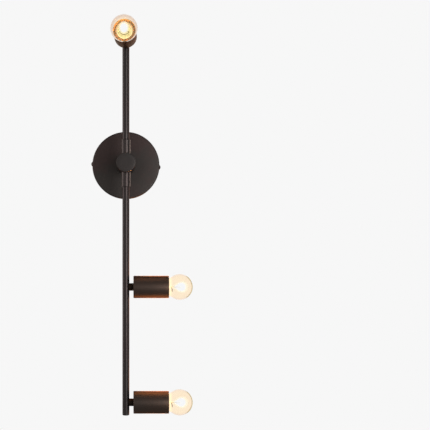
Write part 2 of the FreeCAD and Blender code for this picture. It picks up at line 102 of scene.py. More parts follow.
class Field:
    """A value that varies over a surface. Arithmetic on it adds Math nodes."""

    def __init__(self, finish, socket):
        self.finish = finish
        self.socket = socket

    def combine(self, operation, first, second):
        return self.finish.node("ShaderNodeMath", {0: first, 1: second}, {"operation": operation})

    def __add__(self, other):
        return self.combine("ADD", self, other)

    def __radd__(self, other):
        return self.combine("ADD", other, self)

    def __sub__(self, other):
        return self.combine("SUBTRACT", self, other)

    def __rsub__(self, other):
        return self.combine("SUBTRACT", other, self)

    def __mul__(self, other):
        return self.combine("MULTIPLY", self, other)

    def __rmul__(self, other):
        return self.combine("MULTIPLY", other, self)

    def at_most(self, limit):
        return self.combine("MINIMUM", self, limit)


def socket_of(node, name):
    # A socket is asked for by its number, or by its name among those in use.
    if isinstance(name, int):
        return node.inputs[name]
    return next(socket for socket in node.inputs if socket.name == name and socket.enabled)


class Finish:
    """The nodes of one material, or of the world."""

    def __init__(self, owner):
        owner.use_nodes = True
        self.owner = owner
        self.tree = owner.node_tree
        self.tree.nodes.clear()

    def node(self, kind, inputs=None, settings=None, output=None):
        # The settings are set first. An input is a Field, a number or a colour of three numbers.
        made = self.tree.nodes.new(kind)
        for name, value in (settings or {}).items():
            setattr(made, name, value)
        for name, value in (inputs or {}).items():
            socket = socket_of(made, name)
            if isinstance(value, Field):
                self.tree.links.new(value.socket, socket)
            elif socket.type == "RGBA":
                socket.default_value = (*value, 1)
            else:
                socket.default_value = value
        outputs = [socket for socket in made.outputs if socket.enabled]
        if not outputs:
            return None
        return Field(self, made.outputs[output] if output else outputs[0])

    def place(self):
        return self.node("ShaderNodeTexCoord", output="Object")

    def height(self):
        return self.node("ShaderNodeSeparateXYZ", {"Vector": self.place()}, output="Z")

    def reach(self):
        # Distance along the lamp from the rod's axis, which note_reach keeps in the mesh.
        return self.node("ShaderNodeAttribute", settings={"attribute_name": "reach"}, output="Fac")

    def noise(self, size, detail=2.0, roughness=0.5):
        # Soft blotches of this size.
        return self.node("ShaderNodeTexNoise", {
            "Vector": self.place(),
            "Scale": 1 / size,
            "Detail": detail,
            "Roughness": roughness,
        })

    def ramp(self, value, low, high):
        # 0 below low, 1 above high, smooth between.
        inputs = {"Value": value, "From Min": low, "From Max": high}
        return self.node("ShaderNodeMapRange", inputs, {"interpolation_type": "SMOOTHSTEP"})

    def blend(self, share, first, second):
        # The first colour where the share is 0, the second where it is 1.
        inputs = {"Factor": share, "A": first, "B": second}
        return self.node("ShaderNodeMix", inputs, {"data_type": "RGBA"})

    def bump(self, height, depth):
        return self.node("ShaderNodeBump", {"Height": height, "Distance": depth, "Strength": 1.0})

    def principled(self, **inputs):
        named = {name.replace("_", " "): value for name, value in inputs.items()}
        return self.node("ShaderNodeBsdfPrincipled", named)

    def mix_shaders(self, share, first, second):
        return self.node("ShaderNodeMixShader", {"Fac": share, 1: first, 2: second})

    def show(self, shader):
        self.node("ShaderNodeOutputMaterial", {"Surface": shader})
        return self.owner


def material(name):
    return Finish(bpy.data.materials.new(name))


# Finishes of the metal and the mouldings

def bronze(name, brown, green, rubbed, roughness=0.36, edge=(0.40, 0.30, 0.24), drift=0.0):
    # Oil-rubbed bronze: brown with grey-green clouds, a fine grain and a satin gloss. The edge is
    # its tint at a glancing look. With a drift, the clouds gather in the lower part.
    f = material(name)
    clouds = f.ramp(f.noise(0.085, detail=3, roughness=0.55) - drift * f.height(), 0.42, 0.62)
    freckles = f.ramp(f.noise(0.0035, detail=4, roughness=0.6), 0.55, 0.75)
    grain = f.noise(0.0007, roughness=0.6)
    colour = f.blend(clouds, brown, green)
    return f.show(f.principled(
        Base_Color=f.blend(freckles * 0.35, colour, rubbed),
        Metallic=0.9,
        Specular_Tint=edge,
        Roughness=roughness + 0.08 * f.noise(0.02, detail=3) + 0.03 * freckles,
        Normal=f.bump(grain, 0.02 * MM),
    ))


def cup_lining():
    # The bare inside of a cup, mottled copper with turning lines. Its bright amber is partly
    # painted light of the bulb shining in.
    f = material("cup_lining")
    lines_per_metre = 2500
    lines = {"W": f.reach() * lines_per_metre, "Detail": 2.0}
    turning = f.node("ShaderNodeTexNoise", lines, {"noise_dimensions": "1D"})
    stain = f.ramp(f.noise(0.004, detail=4, roughness=0.65), 0.38, 0.66)
    return f.show(f.principled(
        Base_Color=f.blend(stain, (0.66, 0.45, 0.17), (0.38, 0.23, 0.07)),
        Metallic=0.6,
        Roughness=0.40 + 0.15 * stain,
        Normal=f.bump(turning, 0.05 * MM),
    ))


def plated(name, pale, dark, roughness):
    # Sheet or turned metal with a thin plating that has clouded a little.
    f = material(name)
    cloud = f.ramp(f.noise(0.008, detail=4, roughness=0.6), 0.35, 0.70)
    scratch = f.noise(0.0012, detail=3, roughness=0.7)
    return f.show(f.principled(
        Base_Color=f.blend(cloud, pale, dark),
        Metallic=1.0,
        Roughness=roughness + 0.12 * cloud + 0.06 * scratch,
        Normal=f.bump(scratch, 0.03 * MM),
    ))


def moulded(name, colour, dark, roughness):
    # Moulded plastic, phenolic or vitreous stuff, with a faint skin.
    f = material(name)
    flow = f.ramp(f.noise(0.006, detail=3), 0.35, 0.70)
    skin = f.noise(0.0006)
    return f.show(f.principled(
        Base_Color=f.blend(flow, colour, dark),
        Roughness=roughness + 0.10 * flow,
        Normal=f.bump(skin, 0.02 * MM),
    ))


# Finishes of the bulbs

GLASS_IOR = 1.07
LAMP_LIGHT_TINT = (1, 0.96, 0.9)
# spans along the lamp, from the rod's axis, over which a finish changes
NECK_TO_MOUTH = (0.0722, 0.0742)
MOUTH_TO_GLOBE = (0.0745, 0.0815)
FRONT_OF_GLOBE = (0.101, 0.107)
STEM_OUT_OF_CUP = (0.066, 0.076)
# span of height above which the bulb is the top one
UP_TO_TOP_LAMP = (0.15, 0.16)


def glass(f, tint, roughness, glow):
    # Clear glass with a faint glow, which lets the light of lamps through without a shadow.
    clear = f.principled(
        Base_Color=tint,
        Roughness=roughness,
        IOR=GLASS_IOR,
        Transmission_Weight=1.0,
        Emission_Color=glow,
        Emission_Strength=1.0,
    )
    shadow = f.node("ShaderNodeLightPath", output="Is Shadow Ray")
    through = f.node("ShaderNodeBsdfTransparent", {"Color": LAMP_LIGHT_TINT})
    return f.show(f.mix_shaders(shadow, clear, through))


def bulb_glass():
    # Thin blown glass with a peach cast. An amber glint at its front edge is painted light, and so
    # are a bright glow in the neck and an amber fringe just outside the cup. The darker rosy edge
    # of the top lamp alone is painted shade.
    f = material("bulb_glass")
    streaks = f.ramp(f.noise(0.018, roughness=0.4), 0.30, 0.75)
    facing = f.node("ShaderNodeLayerWeight", {"Blend": 0.5}, output="Facing")
    # Painted glint: an amber line at the globe's front edge, as of the filament's light.
    front_painted_glint = f.ramp(facing, 0.60, 0.80) * f.ramp(f.reach(), *FRONT_OF_GLOBE)
    # Painted shade: a darker rosy edge on the top globe only.
    top_lamp_painted_shade = f.ramp(f.height(), *UP_TO_TOP_LAMP) * f.ramp(facing, 0.20, 0.50)
    tint = f.blend(streaks, (0.985, 0.910, 0.790), (0.975, 0.895, 0.770))
    tint = f.blend(f.ramp(facing, 0.40, 0.72), tint, (0.940, 0.850, 0.775))
    tint = f.blend(front_painted_glint, tint, (0.40, 0.30, 0.06))
    tint = f.blend(top_lamp_painted_shade, tint, (0.87, 0.78, 0.71))
    # Painted light: a bright glow in the neck, and an amber glow just past the cup's mouth.
    glow = f.blend(f.ramp(f.reach(), *MOUTH_TO_GLOBE), (0.125, 0.080, 0.032), (0.022, 0.016, 0.012))
    glow = f.blend(f.ramp(f.reach(), *NECK_TO_MOUTH), (0.26, 0.26, 0.17), glow)
    return glass(f, tint, 0.01 + 0.01 * streaks, glow)


def stem_glass():
    # Pressed glass with a painted glow, as of the filament's light, mottled where it stands
    # inside the cup.
    f = material("stem_glass")
    streaks = f.ramp(f.noise(0.004, roughness=0.4), 0.30, 0.75)
    tint = f.blend(streaks, (0.99, 0.96, 0.90), (0.96, 0.92, 0.84))
    in_cup = 1 - f.ramp(f.reach(), *STEM_OUT_OF_CUP)
    flare = f.blend(streaks, (0.46, 0.46, 0.23), (0.27, 0.23, 0.10))
    glow = f.blend(in_cup, (0.22, 0.18, 0.10), flare)
    return glass(f, tint, 0.02 + 0.04 * streaks, glow)


def filament():
    # A hot coil, a little uneven in its heat.
    f = material("filament")
    heat = f.noise(0.002, detail=3)
    return f.show(f.principled(
        Base_Color=(0.3, 0.22, 0.12),
        Roughness=0.5,
        Emission_Color=f.blend(heat, (1.0, 0.86, 0.60), (0.90, 0.774, 0.54)),
        Emission_Strength=6.0,
    ))


def halo(name, colour, cover):
    # The light round the filament: a thin veil that shows what is behind it.
    f = material(name)
    uneven = f.noise(0.01)
    return f.show(f.principled(
        Base_Color=(0, 0, 0),
        Roughness=1.0,
        Specular_IOR_Level=0.0,
        Alpha=cover * (0.92 + 0.16 * uneven),
        Emission_Color=colour,
        Emission_Strength=1.0,
    ))


# All finishes by name

BRONZES = {
    "bronze": {
        "brown": (0.0225, 0.0162, 0.0155),
        "green": (0.0195, 0.0174, 0.0164),
        "rubbed": (0.036, 0.026, 0.022),
        "drift": 2.0,
    },
    "bronze_cap": {
        "brown": (0.0195, 0.0172, 0.0165),
        "green": (0.0185, 0.0174, 0.0168),
        "rubbed": (0.030, 0.024, 0.021),
    },
    "bronze_tube": {
        "brown": (0.0195, 0.0150, 0.0146),
        "green": (0.0180, 0.0156, 0.0151),
        "rubbed": (0.032, 0.025, 0.021),
        "roughness": 0.28,
        "edge": (0.50, 0.44, 0.42),
    },
    "bronze_sleeve": {
        "brown": (0.0225, 0.0175, 0.0168),
        "green": (0.0212, 0.0182, 0.0174),
        "rubbed": (0.034, 0.027, 0.023),
        "roughness": 0.28,
        "edge": (0.62, 0.56, 0.53),
    },
    "bronze_cup": {
        "brown": (0.0260, 0.0184, 0.0152),
        "green": (0.0240, 0.0186, 0.0158),
        "rubbed": (0.032, 0.023, 0.018),
        "roughness": 0.41,
        "edge": (0.58, 0.42, 0.31),
    },
    "bronze_collar": {
        "brown": (0.0080, 0.0052, 0.0040),
        "green": (0.0075, 0.0054, 0.0042),
        "rubbed": (0.012, 0.008, 0.006),
        "roughness": 0.42,
        "edge": (0.21, 0.12, 0.07),
    },
}
PLATED_METALS = {
    # pale colour, dark colour, roughness
    "zinc": ((0.34, 0.34, 0.32), (0.24, 0.24, 0.225), 0.42),
    "green_screw": ((0.04, 0.22, 0.09), (0.02, 0.12, 0.05), 0.35),
    "copper": ((0.62, 0.30, 0.16), (0.38, 0.17, 0.09), 0.30),
    "black_steel": ((0.035, 0.035, 0.037), (0.02, 0.02, 0.02), 0.42),
    "brass": ((0.68, 0.44, 0.16), (0.46, 0.28, 0.10), 0.28),
    "nickel": ((0.50, 0.48, 0.44), (0.38, 0.36, 0.33), 0.30),
    "solder": ((0.60, 0.59, 0.56), (0.42, 0.41, 0.39), 0.36),
}
MOULDINGS = {
    # two colours that flow into each other, roughness
    "lead_jacket": ((0.022, 0.022, 0.023), (0.035, 0.034, 0.033), 0.45),
    "connector_plastic": ((0.62, 0.20, 0.035), (0.50, 0.15, 0.02), 0.38),
    "holder_moulding": ((0.44, 0.27, 0.13), (0.24, 0.13, 0.055), 0.32),
    "black_glass": ((0.012, 0.012, 0.014), (0.02, 0.019, 0.02), 0.10),
}
FINISHES = {name: bronze(name, **values) for name, values in BRONZES.items()}
FINISHES.update({name: plated(name, *values) for name, values in PLATED_METALS.items()})
FINISHES.update({name: moulded(name, *values) for name, values in MOULDINGS.items()})
FINISHES["cup_lining"] = cup_lining()
FINISHES["bulb_glass"] = bulb_glass()
FINISHES["stem_glass"] = stem_glass()
FINISHES["filament"] = filament()


# Finishes of the solids that stay as they are

NODE_FINISHES = {
    "bronze": ("post", "cap_stud"),
    "bronze_sleeve": ("sleeve",),
    "bronze_tube": ("upper_tube", "top_plug", "lower_tube", "bottom_plug"),
    "zinc": ("box_bar", "ear_bar", "post_washer", "post_nut", "post_nipple"),
    "green_screw": ("ground_screw",),
    "copper": ("ground_lead",),
    "black_steel": ("stop_screws",),
    "lead_jacket": ("hub_leads",),
}
LAMP_NODE_FINISHES = {
    "lead_jacket": ("lamp_lead",),
    "zinc": ("arm_nipple", "cup_nut"),
    "holder_moulding": ("holder",),
    "brass": ("centre_contact",),
    "black_glass": ("insulator",),
    "solder": ("bulb_contact",),
}


def dress(node, finish):
    for slot in nodes[node].material_slots:
        slot.material = FINISHES[finish]


for finish, dressed in NODE_FINISHES.items():
    for node in dressed:
        dress(node, finish)
for finish, dressed in LAMP_NODE_FINISHES.items():
    for node in dressed:
        for lamp in LAMPS:
            dress(node + "_" + lamp, finish)


# Modelling by hand: a few moves that every new piece uses

def select(obj):
    bpy.ops.object.select_all(action="DESELECT")
    obj.select_set(True)
    bpy.context.view_layer.objects.active = obj


def begin(obj):
    # Opens a piece for work on its vertices, with none of them selected.
    select(obj)
    bpy.ops.object.mode_set(mode="EDIT")
    bpy.ops.mesh.select_mode(type="VERT")
    bpy.ops.mesh.select_all(action="DESELECT")


def end():
    bpy.ops.object.mode_set(mode="OBJECT")


def pick(obj, wanted):
    # Selects the vertices whose place is wanted, in edit mode.
    bpy.ops.mesh.select_all(action="DESELECT")
    bpy.ops.object.mode_set(mode="OBJECT")
    for vertex in obj.data.vertices:
        vertex.select = wanted(vertex.co)
    bpy.ops.object.mode_set(mode="EDIT")


def lathe(name, corners, steps):
    # Draws the corners (along, out) as a line by extruding a point, and spins it about the X axis.
    bpy.ops.object.select_all(action="DESELECT")
    bpy.ops.mesh.primitive_plane_add(size=MM)
    obj = bpy.context.active_object
    obj.name = obj.data.name = name
    begin(obj)
    bpy.ops.mesh.select_all(action="SELECT")
    bpy.ops.mesh.merge(type="CENTER")
    bpy.ops.transform.translate(value=(corners[0][0], 0, corners[0][1]))
    for before, after in zip(corners, corners[1:]):
        step = (after[0] - before[0], 0, after[1] - before[1])
        bpy.ops.mesh.extrude_vertices_move(TRANSFORM_OT_translate={"value": step})
    bpy.ops.mesh.select_all(action="SELECT")
    bpy.ops.mesh.spin(steps=steps, angle=2 * math.pi, center=(0, 0, 0), axis=(1, 0, 0))
    bpy.ops.mesh.select_all(action="SELECT")
    bpy.ops.mesh.remove_doubles(threshold=0.002 * MM)
    bpy.ops.mesh.normals_make_consistent(inside=False)
    end()
    return obj


def arc(centre, radius, start, stop, count):
    # Points on a circle in the drawing plane, from start to stop in degrees.
    points = []
    for step in range(count + 1):
        angle = math.radians(start + (stop - start) * step / count)
        points.append((centre[0] + radius * math.cos(angle), centre[1] + radius * math.sin(angle)))
    return points


def rings(start, end, radius, count):
    # Evenly spaced points along a straight wall.
    return [(start + (end - start) * step / count, radius) for step in range(count + 1)]


def out_from_axis(place):
    return math.hypot(place.y, place.z)


def finish_with(obj, kind, **settings):
    # Adds a modifier and applies it.
    modifier = obj.modifiers.new(kind.title(), kind)
    for name, value in settings.items():
        setattr(modifier, name, value)
    select(obj)
    bpy.ops.object.modifier_apply(modifier=modifier.name)


def cut_away(obj, cutter):
    # Takes the cutter's shape out of a piece.
    finish_with(obj, "BOOLEAN", operation="DIFFERENCE", solver="EXACT", object=cutter)
    bpy.data.objects.remove(cutter)


def smooth(obj, angle):
    select(obj)
    bpy.ops.object.shade_smooth_by_angle(angle=math.radians(angle))


def tube_along(name, points, radius, sides=8):
    # A round wire through the points, as a curve with a bevel that becomes a mesh.
    curve = bpy.data.curves.new(name, "CURVE")
    curve.dimensions = "3D"
    curve.bevel_depth = radius
    curve.bevel_resolution = (sides - 4) // 2
    curve.use_fill_caps = True
    spline = curve.splines.new("POLY")
    spline.points.add(len(points) - 1)
    for target, point in zip(spline.points, points):
        target.co = (*point, 1)
    obj = bpy.data.objects.new(name, curve)
    bpy.context.scene.collection.objects.link(obj)
    select(obj)
    bpy.ops.object.convert(target="MESH")
    obj = bpy.context.active_object
    smooth(obj, 60)
    return obj


def paint(obj, finish):
    obj.data.materials.clear()
    obj.data.materials.append(FINISHES[finish])


def coat(obj, finish, wanted):
    # Gives another finish to the faces whose corners are all wanted.
    obj.data.materials.append(FINISHES[finish])
    begin(obj)
    pick(obj, wanted)
    bpy.ops.mesh.select_mode(type="FACE")
    obj.active_material_index = len(obj.data.materials) - 1
    bpy.ops.object.material_slot_assign()
    bpy.ops.mesh.select_mode(type="VERT")
    end()


def set_in_place(piece, place, body, node):
    piece.data.transform(place)
    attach(piece, body)
    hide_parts(node)


def note_reach(obj):
    # Keeps each point's distance along the lamp for the materials.
    reach = obj.data.attributes.new("reach", "FLOAT", "POINT")
    for vertex in obj.data.vertices:
        reach.data[vertex.index].value = vertex.co.x


def set_in_lamps(model, body, node):
    # Copies a piece that was modelled along X into each of the three lamps.
    note_reach(model)
    for lamp in LAMPS:
        piece = model.copy()
        piece.data = model.data.copy()
        piece.name = piece.data.name = model.name + "_" + lamp
        bpy.context.scene.collection.objects.link(piece)
        set_in_place(piece, lamp_place(lamp), body[lamp], node + "_" + lamp)
    bpy.data.objects.remove(model)


# Canopy and the post's front cap, turned along X and then faced to the front

FACING_FRONT = Matrix.Rotation(math.radians(-90), 4, "Z")
canopy_low, canopy_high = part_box("canopy")
canopy_radius = (canopy_high.x - canopy_low.x) / 2


def canopy():
    depth = -canopy_low.y
    wall = 1.2 * MM
    edge = 2.5 * MM
    hole = 5.2 * MM
    edge_centre = (depth - edge, canopy_radius - edge)
    halfway = 0.5 * canopy_radius
    corners = [(0, canopy_radius), (0.5 * depth, canopy_radius)]
    corners += arc(edge_centre, edge, 90, 0, 8)
    corners += [(depth, halfway), (depth, hole), (depth - wall, hole), (depth - wall, halfway)]
    corners += arc(edge_centre, edge - wall, 0, 90, 5)
    corners += [(0.5 * depth, canopy_radius - wall), (0, canopy_radius - wall), (0, canopy_radius)]
    obj = lathe("canopy_shell", corners, 160)
    smooth(obj, 40)
    paint(obj, "bronze")
    return obj


def front_cap():
    low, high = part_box("front_cap")
    radius = (high.x - low.x) / 2
    start = -high.y
    face = -low.y
    edge = 1.1 * MM
    back_edge = 0.2 * MM
    corners = [(start, 0.0), (start, radius - back_edge), (start + back_edge, radius)]
    corners += arc((face - edge, radius - edge), edge, 90, 0, 6)
    corners += [(face, 0.5 * radius), (face, 0.0)]
    obj = lathe("cap_disc", corners, 96)
    smooth(obj, 40)
    paint(obj, "bronze_cap")
    return obj


set_in_place(canopy(), FACING_FRONT, "root", "canopy")
set_in_place(front_cap(), FACING_FRONT, "cap", "front_cap")


# Slotted screws on the canopy's rim, on a line that is a little out of level

screw_tilt = 2.8
screw_depth = 12 * MM
screw_length = 8 * MM
screw_head = 4 * MM
screw_shank = 2 * MM
screw_point = 0.4 * MM
screw_crown = 2.39 * MM
screw_brim = 0.7 * MM
screw_slot = (2.4 * MM, 1.1 * MM, 9 * MM)


def side_screw(name, turn):
    rise = screw_crown - screw_brim
    dome = (screw_head ** 2 + rise ** 2) / (2 * rise)
    slope = math.degrees(math.asin(screw_head / dome))
    tip = canopy_radius - screw_length
    crown = canopy_radius + screw_crown
    corners = [(tip, 0.0), (tip, screw_shank - screw_point), (tip + screw_point, screw_shank)]
    corners += [(canopy_radius, screw_shank), (canopy_radius, screw_head)]
    corners += arc((crown - dome, 0), dome, slope, 0, 8)
    obj = lathe(name, corners, 48)
    bpy.ops.object.select_all(action="DESELECT")
    bpy.ops.mesh.primitive_cube_add(size=1, location=(crown, 0, 0), scale=screw_slot)
    cut_away(obj, bpy.context.active_object)
    smooth(obj, 30)
    paint(obj, "bronze")
    line = Matrix.Rotation(math.radians(screw_tilt), 4, "Y") @ Matrix.Translation((0, -screw_depth, 0))
    place = line @ Matrix.Rotation(math.radians(turn), 4, "Z")
    set_in_place(obj, place, "root", "side_screws")


side_screw("side_screw_right", 0)
side_screw("side_screw_left", 180)


# Cup and collar of an arm

cup_start, cup_end = along_lamp("cup")
cup_radius = radius_of("cup")
cup_wall = 1.2 * MM
cup_back_round = 1.2 * MM
cup_floor_round = 0.8 * MM
cup_lip_round = 0.5 * MM
nipple_hole = radius_of("arm_nipple") + 0.03 * MM
collar_start = 4.4 * MM
collar_edge = 0.25 * MM
saddle_radius = 6.03 * MM


def cup():
    bore = cup_radius - cup_wall
    floor = cup_start + cup_wall
    halfway = 0.5 * (cup_start + cup_end)
    back_centre = (cup_start + cup_back_round, cup_radius - cup_back_round)
    lip_centre = (cup_end - cup_lip_round, cup_radius - cup_lip_round)
    inner_lip_round = 0.5 * cup_lip_round
    inner_lip_centre = (cup_end - inner_lip_round, bore + inner_lip_round)
    floor_centre = (floor + cup_floor_round, bore - cup_floor_round)
    corners = [(cup_start, nipple_hole), (cup_start, 0.6 * cup_radius)]
    corners += arc(back_centre, cup_back_round, 180, 90, 6)
    corners += [(halfway, cup_radius)]
    corners += arc(lip_centre, cup_lip_round, 90, 0, 4)
    corners += arc(inner_lip_centre, inner_lip_round, 0, -90, 3)
    corners += [(halfway, bore)]
    corners += arc(floor_centre, cup_floor_round, 90, 180, 4)
    corners += [(floor, nipple_hole), (cup_start, nipple_hole)]
    obj = lathe("cup_shell", corners, 96)
    smooth(obj, 40)
    paint(obj, "bronze_cup")
    margin = 0.01 * MM
    lip_edge = cup_radius - 0.6 * cup_lip_round

    # The lining's finish also goes on the lip's face, as painted amber light of the bulb.
    def lining_and_glow_faces(place):
        out = out_from_axis(place)
        inside = out < bore + margin and place.x > floor - margin
        lip_painted_glow = out < lip_edge and place.x > lip_centre[0]
        return inside or lip_painted_glow

    coat(obj, "cup_lining", lining_and_glow_faces)
    return obj


def collar():
    # A short spacer whose near end is a saddle on the tube.
    radius = radius_of("collar")
    obj = lathe("collar_spacer", [
        (collar_start, nipple_hole),
        (collar_start, radius),
        (cup_start - collar_edge, radius),
        (cup_start, radius - collar_edge),
        (cup_start, nipple_hole),
        (collar_start, nipple_hole),
    ], 64)
    bpy.ops.object.select_all(action="DESELECT")
    bpy.ops.mesh.primitive_cylinder_add(vertices=96, radius=saddle_radius, depth=4 * radius)
    cut_away(obj, bpy.context.active_object)
    smooth(obj, 35)
    paint(obj, "bronze_collar")
    return obj


set_in_lamps(cup(), ARM_BODY, "cup")
set_in_lamps(collar(), ARM_BODY, "collar")


# Screw shell of a holder and screw cap of a bulb, sheet metal with a pressed thread

thread_pitch = 3.375 * MM
shell_wall = 0.5 * MM
shell_bend = 1.0 * MM
shell_hole = 8.5 * MM
shell_straight = 1.3 * MM
shell_thread = -0.28 * MM
cap_sheet = 0.4 * MM
cap_root_depth = 0.8 * MM
cap_thread = 0.75 * MM
cap_skirt = 6 * MM
cap_lip = 0.25 * MM


def press_thread(obj, start, end, fade, depth):
    # Moves the wall in or out along a helix. The thread runs out over a fade at each end.
    for vertex in obj.data.vertices:
        place = vertex.co
        if start < place.x < end:
            out = out_from_axis(place)
            angle = math.atan2(place.z, place.y)
            share = min(1.0, (place.x - start) / fade, (end - place.x) / fade)
            wave = 0.5 - 0.5 * math.cos(2 * math.pi * place.x / thread_pitch - angle)
            grown = (out + depth * share * wave) / out
            vertex.co = (place.x, place.y * grown, place.z * grown)


def screw_shell():
    start, end = along_lamp("screw_shell")
    radius = radius_of("screw_shell")
    inner_floor = start + shell_wall
    floor_out = 0.8 * radius
    bend_centre = (start + shell_bend, radius - shell_bend)
    corners = [(start, shell_hole), (start, floor_out)]
    corners += arc(bend_centre, shell_bend, 180, 90, 4)
    corners += rings(start + shell_straight, end, radius, 62)
    corners += rings(end, start + shell_straight, radius - shell_wall, 62)
    corners += arc(bend_centre, shell_bend - shell_wall, 90, 180, 3)
    corners += [(inner_floor, floor_out), (inner_floor, shell_hole), (start, shell_hole)]
    obj = lathe("holder_shell", corners, 64)
    press_thread(obj, start + 2 * MM, end - 1 * MM, 1.5 * MM, shell_thread)
    smooth(obj, 50)
    paint(obj, "brass")
    return obj


def bulb_cap():
    start, end = along_lamp("bulb_cap")
    crest = radius_of("bulb_cap")
    root = crest - cap_root_depth
    skirt = end - cap_skirt
    outside = rings(start, skirt - 0.8 * MM, root, 44)
    outside += [(skirt - 0.4 * MM, root + 0.4 * MM), (skirt, crest - 0.1 * MM)]
    outside += [(skirt + 0.3 * MM, crest), (end - 1.2 * MM, crest), (end - cap_lip, crest)]
    inside = [(along, out - cap_sheet) for along, out in reversed(outside)]
    corners = outside + [(end, crest - 0.5 * cap_sheet)] + inside + [(start, root)]
    obj = lathe("bulb_screw_cap", corners, 64)
    press_thread(obj, start + 0.2 * MM, skirt - 0.9 * MM, 1.6 * MM, cap_thread)
    smooth(obj, 50)
    paint(obj, "nickel")
    return obj


set_in_lamps(screw_shell(), ARM_BODY, "screw_shell")
set_in_lamps(bulb_cap(), BULB_BODY, "bulb_cap")


# Twist-on connectors of the leads in the canopy

connector_length = 20 * MM
connector_mouth = 5 * MM
connector_tip = 3.25 * MM
connector_tip_round = 1.2 * MM
connector_sides = 24
connector_rings = (0.4, 1.2, 2.6, 6, 7.4, 8.2, 12, 16, 17.6, 18.4)
socket_depth = 5 * MM
socket_radius = 1.43 * MM
socket_funnel = 0.6 * MM
flute_start = 8 * MM
flute_end = 18 * MM
flute_share = 0.86
wing_start = 1 * MM
wing_middle = (3.4 * MM, 0, 0)
wing_end = 7 * MM
# how far the wings rise in each step, and how much narrower they get
wing_steps = ((1.3 * MM, 0.7), (1.5 * MM, 0.8))
lead_start = Vector((0, -11.5, 1.5)) * MM
lead_end = Vector((18, -11.5, -18)) * MM


def connector_outline():
    def width(along):
        return connector_mouth + (connector_tip - connector_mouth) / connector_length * along

    tip_centre = (connector_length - connector_tip_round, width(connector_length) - connector_tip_round)
    corners = [(socket_depth, 0.0), (socket_depth, socket_radius)]
    corners += [(0.2 * MM, socket_radius + socket_funnel), (0.0, width(0) - 0.6 * MM)]
    corners += [(along * MM, width(along * MM)) for along in connector_rings]
    corners += arc(tip_centre, connector_tip_round, 60, 0, 3)
    return corners + [(connector_length, 0.0)]


def in_flute(place):
    # Every other edge of the cone's outside.
    step = round(math.atan2(place.z, place.y) / (2 * math.pi / connector_sides))
    return step % 2 == 1 and flute_start < place.x < flute_end and out_from_axis(place) > 2.5 * MM


def in_wing(place, up):
    out = out_from_axis(place)
    return place.z * up > 0.9 * out and wing_start < place.x < wing_end and out > 3 * MM


def wire_connector(name, side):
    # A fluted cone with two wings at its mouth, pushed on the end of a lead.
    obj = lathe(name, connector_outline(), connector_sides)
    begin(obj)
    pick(obj, in_flute)
    bpy.ops.transform.resize(value=(1, flute_share, flute_share), center_override=(0, 0, 0))
    for up in (-1, 1):
        pick(obj, lambda place: in_wing(place, up))
        for lift, narrowing in wing_steps:
            step = {"value": (-0.4 * MM, 0, up * lift)}
            bpy.ops.mesh.extrude_region_move(TRANSFORM_OT_translate=step)
            bpy.ops.transform.resize(value=(0.9, narrowing, 1), center_override=wing_middle)
    bpy.ops.mesh.select_all(action="SELECT")
    bpy.ops.mesh.normals_make_consistent(inside=False)
    end()
    finish_with(obj, "BEVEL", width=0.2 * MM, segments=2, limit_method="ANGLE")
    smooth(obj, 40)
    paint(obj, "connector_plastic")
    start = Vector((lead_start.x, lead_start.y, lead_start.z * side))
    stop = Vector((lead_end.x * side, lead_end.y, lead_end.z))
    way = (stop - start).normalized()
    turned = way.to_track_quat("X", "Z").to_matrix().to_4x4()
    place = Matrix.Translation(stop - way * socket_depth) @ turned
    set_in_place(obj, place, "root", "wire_connectors")


wire_connector("wire_connector_right", 1)
wire_connector("wire_connector_left", -1)


# Globe of a bulb, blown from one bubble

globe_start, globe_end = along_lamp("globe")
globe_radius = radius_of("globe")
globe_wall = 0.8 * MM
globe_middle = globe_end - globe_radius
neck_radius = 12.2 * MM
neck_curve = 28.0 * MM


def globe_glass():
    span = globe_radius + neck_curve
    rise = neck_radius + neck_curve
    slope = math.degrees(math.asin(rise / span))
    curve_centre = (globe_middle - math.sqrt(span ** 2 - rise ** 2), rise)
    ball = arc((globe_middle, 0), globe_radius, 0, 180 - slope, 26)
    neck = arc(curve_centre, neck_curve, -slope, -90, 10)
    obj = lathe("globe_glass", ball + neck[1:] + [(globe_start, neck_radius)], 64)
    finish_with(obj, "SOLIDIFY", thickness=globe_wall, offset=-1, use_even_offset=True)
    finish_with(obj, "SUBSURF", levels=1, render_levels=1)
    smooth(obj, 60)
    paint(obj, "bulb_glass")
    return obj


set_in_lamps(globe_glass(), BULB_BODY, "globe")


# Stem of a bulb

stem_tip = globe_middle - 10 * MM
stem_radius = 2.5 * MM
stem_shoulder = 2 * MM
stem_gap = 0.03 * MM
wire_seat = 6 * MM
foot_edge = 0.8 * MM
flare_length = 9 * MM
flare_shares = ((0.25, 0.62), (0.5, 0.40))
pinch_length = 5 * MM
pinch_shares = (1, 1.25, 0.55)


def bulb_stem():
    # A flared foot and a rod whose end is pinched flat round the wires.
    foot = neck_radius - globe_wall - stem_gap
    corners = [(globe_start, 0.0), (globe_start, foot), (globe_start + foot_edge, foot)]
    corners += [(globe_start + along * flare_length, foot * out) for along, out in flare_shares]
    corners += [(globe_start + flare_length, stem_radius)]
    corners += [(stem_tip - wire_seat, stem_radius), (stem_tip - stem_shoulder, stem_radius)]
    corners += arc((stem_tip - stem_radius, 0), stem_radius, 80, 0, 5)
    obj = lathe("bulb_stem", corners, 32)
    begin(obj)
    pick(obj, lambda place: place.x > stem_tip - pinch_length)
    bpy.ops.transform.resize(value=pinch_shares, center_override=(stem_tip, 0, 0))
    end()
    finish_with(obj, "SUBSURF", levels=1, render_levels=1)
    smooth(obj, 50)
    paint(obj, "stem_glass")
    return obj


set_in_lamps(bulb_stem(), BULB_BODY, "filament_mount")


# Filament and wires on the stem

coil_reach = globe_middle + 1 * MM
coil_half = 5.5 * MM
coil_bow = 3.5 * MM
coil_radius = 0.45 * MM
coil_wire = 0.1 * MM
coil_turns = 26
steps_per_turn = 8
lead_wire = 0.3 * MM
support_wire_radius = 0.38 * MM
support_bend = 8.2 * MM
support_foot = (1.8 * MM, -0.6 * MM)


